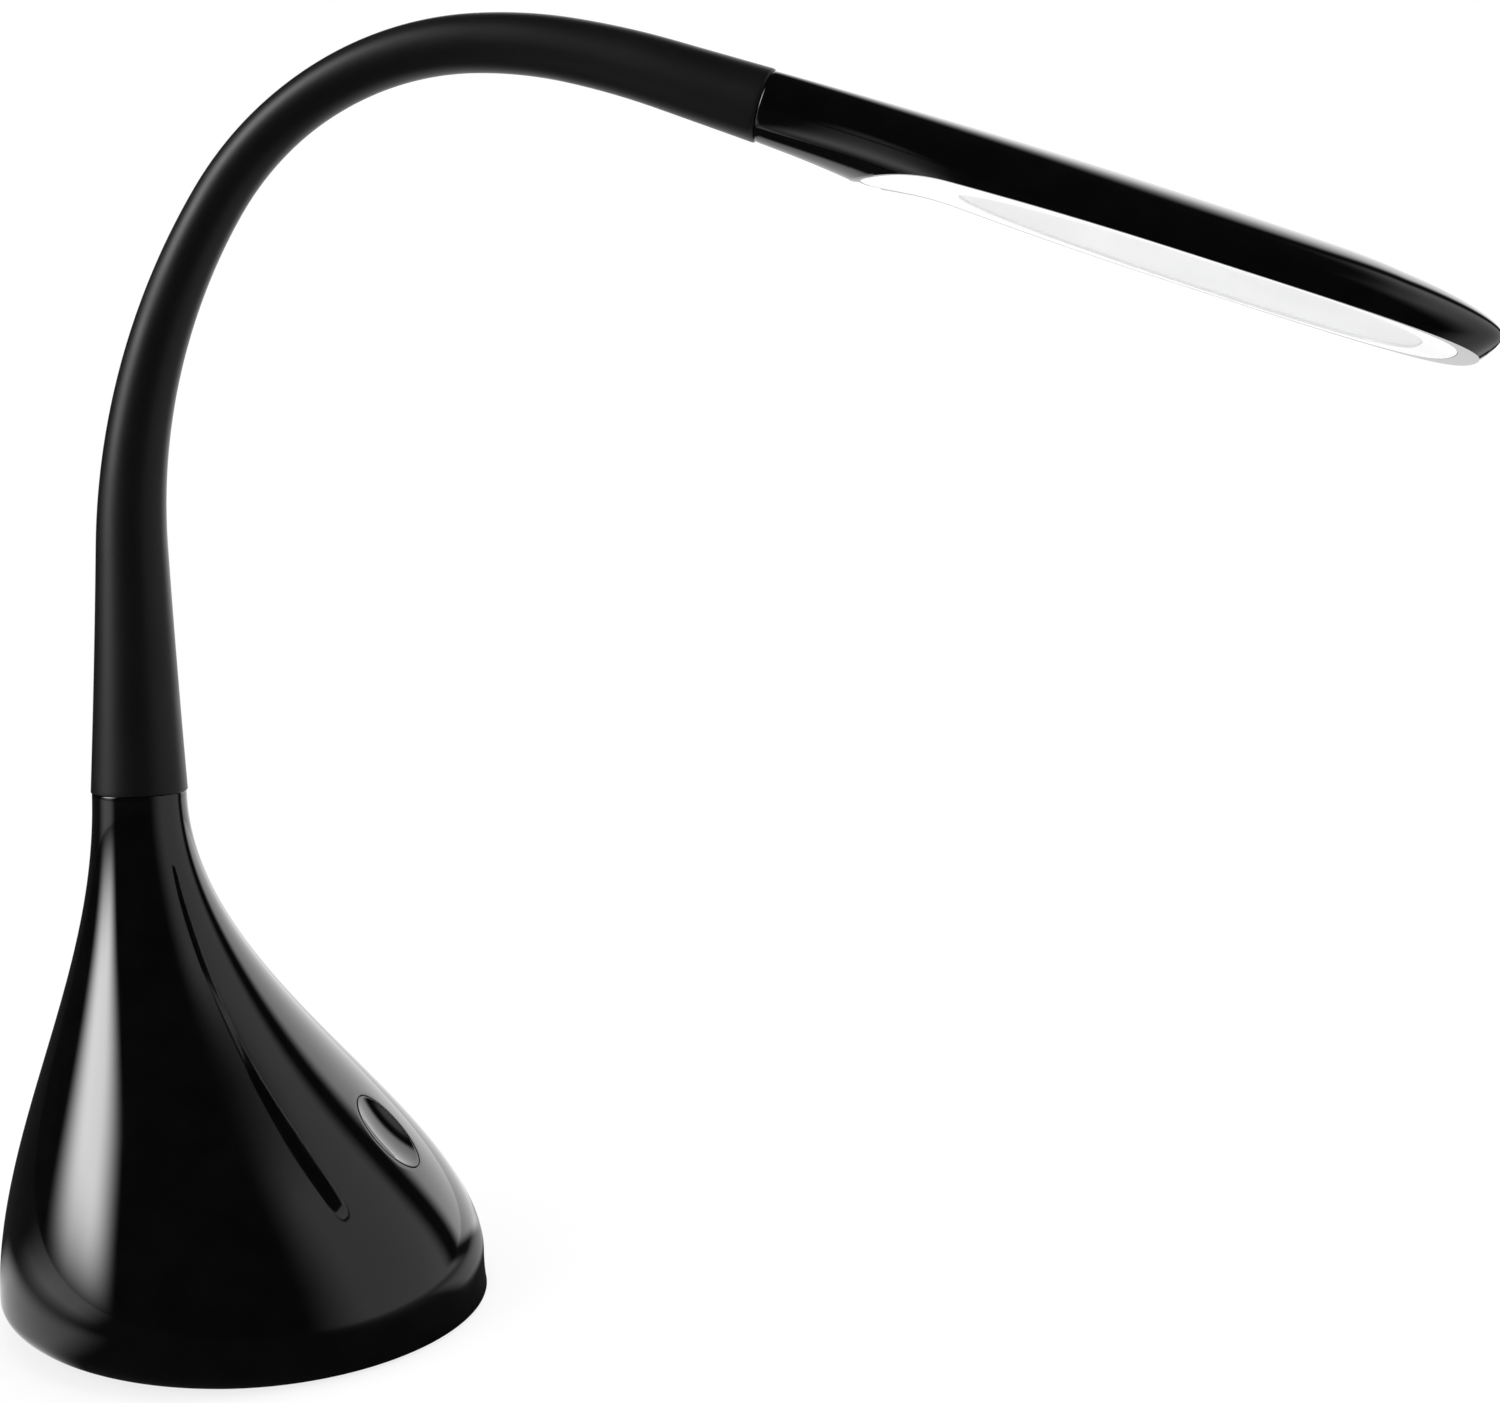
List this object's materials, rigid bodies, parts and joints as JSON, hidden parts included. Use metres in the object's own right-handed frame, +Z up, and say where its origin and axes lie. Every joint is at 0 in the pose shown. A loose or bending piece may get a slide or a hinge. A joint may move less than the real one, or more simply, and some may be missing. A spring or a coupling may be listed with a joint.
{
  "type": "gooseneck desk lamp",
  "caption": "Desk lamp with a bell-shaped weighted base, a dished push button in its front slope, a tapered flexible neck and a long flat LED head.",
  "frame": {"origin": "middle of the non-slip ring, in the plane that the lamp stands on", "axes": "+X forwards, from the base towards the lamp head; +Y to the left of someone looking along +X; +Z up"},
  "size_m": [0.3887, 0.13, 0.346],
  "materials": {
    "gloss_black": "deep gloss black moulded plastic",
    "button_black": "gloss black dished cap",
    "cover_black": "fine matt black plastic",
    "foot_rubber": "matt black non-slip rubber",
    "soft_black": "satin black soft sleeve",
    "cast_iron": "rough cast ballast",
    "screw_steel": "zinc plated screws",
    "circuit_board": "green circuit board",
    "led_board_white": "white solder mask",
    "ferrite": "dark moulded component bodies",
    "capacitor_sleeve": "dark blue shrink sleeve",
    "nickel": "bright nickel plate",
    "lead_black": "black PVC lead",
    "conduit_steel": "close wound steel conduit",
    "white_plastic": "white moulded plastic",
    "frosted_white": "frosted white diffuser",
    "led_yellow": "LED packages with yellow phosphor",
    "aluminium": "plain aluminium sheet"
  },
  "bodies": {
    "base": {"base_shell": "gloss_black", "base_cover": "cover_black", "non_slip_ring": "foot_rubber", "ballast_weight": "cast_iron", "cover_screws": "screw_steel", "ballast_screws": "screw_steel", "control_board": "circuit_board", "control_board_screws": "screw_steel", "driver_inductor": "ferrite", "driver_capacitors": "capacitor_sleeve", "driver_chip": "ferrite", "power_jack": "cover_black", "jack_nut": "nickel", "switch_board": "circuit_board", "tact_switch": "cover_black", "switch_board_screws": "screw_steel", "jack_lead": "lead_black", "switch_lead": "lead_black", "feed_lead": "lead_black", "lower_ferrule": "nickel", "lower_ferrule_washer": "nickel", "lower_ferrule_nut": "nickel", "neck_sleeve_1": "soft_black", "neck_conduit_1": "conduit_steel", "neck_lead_1": "lead_black"},
    "button": {"switch_button": "button_black", "tact_plunger": "cover_black"},
    "neck_2": {"neck_sleeve_2": "soft_black", "neck_conduit_2": "conduit_steel", "neck_lead_2": "lead_black"},
    "neck_3": {"neck_sleeve_3": "soft_black", "neck_conduit_3": "conduit_steel", "neck_lead_3": "lead_black"},
    "neck_4": {"neck_sleeve_4": "soft_black", "neck_conduit_4": "conduit_steel", "neck_lead_4": "lead_black"},
    "neck_5": {"neck_sleeve_5": "soft_black", "neck_conduit_5": "conduit_steel", "neck_lead_5": "lead_black"},
    "neck_6": {"neck_sleeve_6": "soft_black", "neck_conduit_6": "conduit_steel", "neck_lead_6": "lead_black"},
    "neck_7": {"neck_sleeve_7": "soft_black", "neck_conduit_7": "conduit_steel", "neck_lead_7": "lead_black"},
    "head": {"upper_ferrule": "nickel", "upper_ferrule_nut": "nickel", "head_shell": "gloss_black", "head_tray": "white_plastic", "diffuser": "frosted_white", "led_board": "led_board_white", "leds": "led_yellow", "heat_spreader": "aluminium", "led_board_screws": "screw_steel", "lead_connector": "white_plastic", "head_lead": "lead_black", "neck_sleeve_8": "soft_black", "neck_conduit_8": "conduit_steel", "neck_lead_8": "lead_black"}
  },
  "joints": [
    {"name": "button_press", "type": "slide", "parent": "base", "child": "button", "axis": [-0.7482, 0, -0.6635], "range_m": [0, 0.0006], "stiffness_N_per_m": 1200, "springref_m": -0.0008},
    {"name": "lower_bend", "type": "hinge", "parent": "base", "child": "neck_2", "pos_m": [-0.03647, 0, 0.18286], "axis": [0, 1, 0], "range_deg": [-25, 12]},
    {"name": "sway", "type": "hinge", "parent": "neck_2", "child": "neck_3", "pos_m": [-0.03582, 0, 0.22369], "axis": [0.9961, 0, -0.0885], "range_deg": [-15, 15]},
    {"name": "lower_bend_upper_part", "type": "hinge", "parent": "neck_3", "child": "neck_4", "pos_m": [-0.02726, 0, 0.26354], "axis": [0, 1, 0], "range_deg": [-25, 12]},
    {"name": "sway_middle_part", "type": "hinge", "parent": "neck_4", "child": "neck_5", "pos_m": [-0.00924, 0, 0.30009], "axis": [0.836, 0, -0.5488], "range_deg": [-15, 15]},
    {"name": "upper_bend", "type": "hinge", "parent": "neck_5", "child": "neck_6", "pos_m": [0.02032, 0, 0.32772], "axis": [0, 1, 0], "range_deg": [-35, 18]},
    {"name": "sway_end_part", "type": "hinge", "parent": "neck_6", "child": "neck_7", "pos_m": [0.05931, 0, 0.33855], "axis": [0.0306, 0, -0.9995], "range_deg": [-15, 15]},
    {"name": "upper_bend_end_part", "type": "hinge", "parent": "neck_7", "child": "head", "pos_m": [0.09961, 0, 0.33288], "axis": [0, 1, 0], "range_deg": [-35, 18]}
  ],
  "couplings": [
    {"joint": "lower_bend_upper_part", "follows": "lower_bend", "ratio": 1},
    {"joint": "upper_bend_end_part", "follows": "upper_bend", "ratio": 1},
    {"joint": "sway_middle_part", "follows": "sway", "ratio": 1},
    {"joint": "sway_end_part", "follows": "sway", "ratio": 1}
  ]
}
